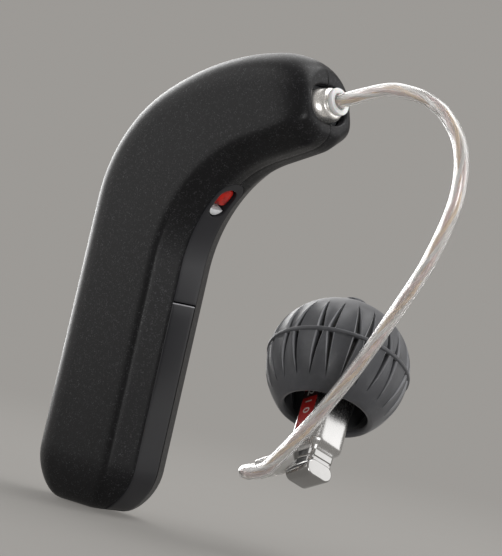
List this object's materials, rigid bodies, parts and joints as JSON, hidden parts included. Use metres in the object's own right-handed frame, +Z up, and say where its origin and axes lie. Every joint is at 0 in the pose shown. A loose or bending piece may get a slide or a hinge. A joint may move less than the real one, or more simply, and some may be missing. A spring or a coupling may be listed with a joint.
{
  "type": "hearing aid",
  "caption": "behind-the-ear hearing aid: bent slim case with a push button on its front strip, a clear wired tube, a metal receiver and a grooved soft dome for the ear canal",
  "frame": {"origin": "the point on the concave front of the bend where the case rests on top of the ear, on the mid-plane of the case", "axes": "+Z up the straight part of the case, +X forwards, the way the arm and the tube reach, -Y towards the side seen in the picture"},
  "size_m": [0.0328, 0.0139, 0.0353],
  "materials": {
    "case_satin": "satin anthracite lacquer with a very fine metallic flake, moulded case halves",
    "seal_grey": "matte dark grey seal in the seam",
    "strip_satin": "smooth satin dark grey, without flake",
    "pin_steel": "drawn steel pin",
    "marker_red": "translucent deep red moulding",
    "guide_white": "milky light guide",
    "lamp_white": "light emitting chip with a yellow phosphor",
    "chassis_grey": "glass filled nylon, matte grey",
    "board_green": "solder resist over glass laminate",
    "chip_black": "black moulded chip package",
    "flex_amber": "amber polyimide film",
    "antenna_gold": "gold plated band",
    "switch_grey": "light grey switch body",
    "cell_steel": "nickel plated steel can",
    "tab_nickel": "nickel strip",
    "coil_copper": "enamelled copper winding",
    "ferrite_grey": "sintered ferrite",
    "microphone_gold": "gold plated steel can",
    "screen_mesh": "fine woven screen",
    "socket_grey": "matte dark plastic",
    "contact_gold": "gold plated contacts",
    "plug_clear": "clear moulded polymer",
    "ring_white": "glossy white ring",
    "tube_clear": "clear glossy polymer tube",
    "wire_copper": "lacquered copper wire",
    "wire_red": "red lacquered wire",
    "wire_clear": "clear lacquered wire",
    "boot_clear": "clear glossy strain relief",
    "receiver_steel": "bright polished metal",
    "label_red": "glossy red film with light numbers",
    "motor_steel": "drawn steel can",
    "spout_grey": "light grey moulding",
    "guard_white": "white moulded filter cup",
    "dome_silicone": "soft matte dark grey silicone",
    "core_silicone": "firm matte dark grey silicone"
  },
  "bodies": {
    "case": {"near_shell": "case_satin", "far_shell": "case_satin", "seam_seal": "seal_grey", "front_strip": "strip_satin", "button_pin": "pin_steel", "side_marker": "marker_red", "light_guide": "guide_white", "status_light": "lamp_white", "chassis_frame": "chassis_grey", "circuit_board": "board_green", "processor_chip": "chip_black", "radio_chip": "chip_black", "power_chip": "chip_black", "flex_circuit": "flex_amber", "antenna_band": "antenna_gold", "tactile_switch": "switch_grey", "battery_cell": "cell_steel", "battery_tabs": "tab_nickel", "charging_coil": "coil_copper", "coil_ferrite": "ferrite_grey", "front_microphone": "microphone_gold", "rear_microphone": "microphone_gold", "microphone_screens": "screen_mesh", "socket_block": "socket_grey", "socket_contacts": "contact_gold"},
    "button": {"push_button": "strip_satin"},
    "earset": {"plug_body": "plug_clear", "plug_ring": "ring_white", "plug_contacts": "contact_gold", "wire_jacket": "tube_clear", "copper_strand": "wire_copper", "red_strand": "wire_red", "clear_strand": "wire_clear", "receiver_boot": "boot_clear", "receiver_end_block": "receiver_steel", "receiver_housing": "receiver_steel", "receiver_label": "label_red", "receiver_motor": "motor_steel", "sound_spout": "spout_grey"},
    "wax_filter": {"wax_guard": "guard_white"},
    "dome": {"dome_skin": "dome_silicone", "dome_core": "core_silicone"}
  },
  "joints": [
    {"name": "button_press", "type": "hinge", "parent": "case", "child": "button", "pos_m": [-0.00303, 0, -0.00851], "axis": [0, 1, 0], "range_deg": [0, 0.9], "stiffness_Nm_per_rad": 0.2},
    {"name": "plug_pull", "type": "slide", "parent": "case", "child": "earset", "axis": [0.9397, 0, 0.342], "range_m": [0, 0.004]},
    {"name": "filter_pull", "type": "slide", "parent": "earset", "child": "wax_filter", "axis": [-0.2784, 0.3982, 0.874], "range_m": [0, 0.00075]},
    {"name": "dome_pull", "type": "slide", "parent": "earset", "child": "dome", "axis": [-0.2784, 0.3982, 0.874], "range_m": [0, 0.003]}
  ]
}
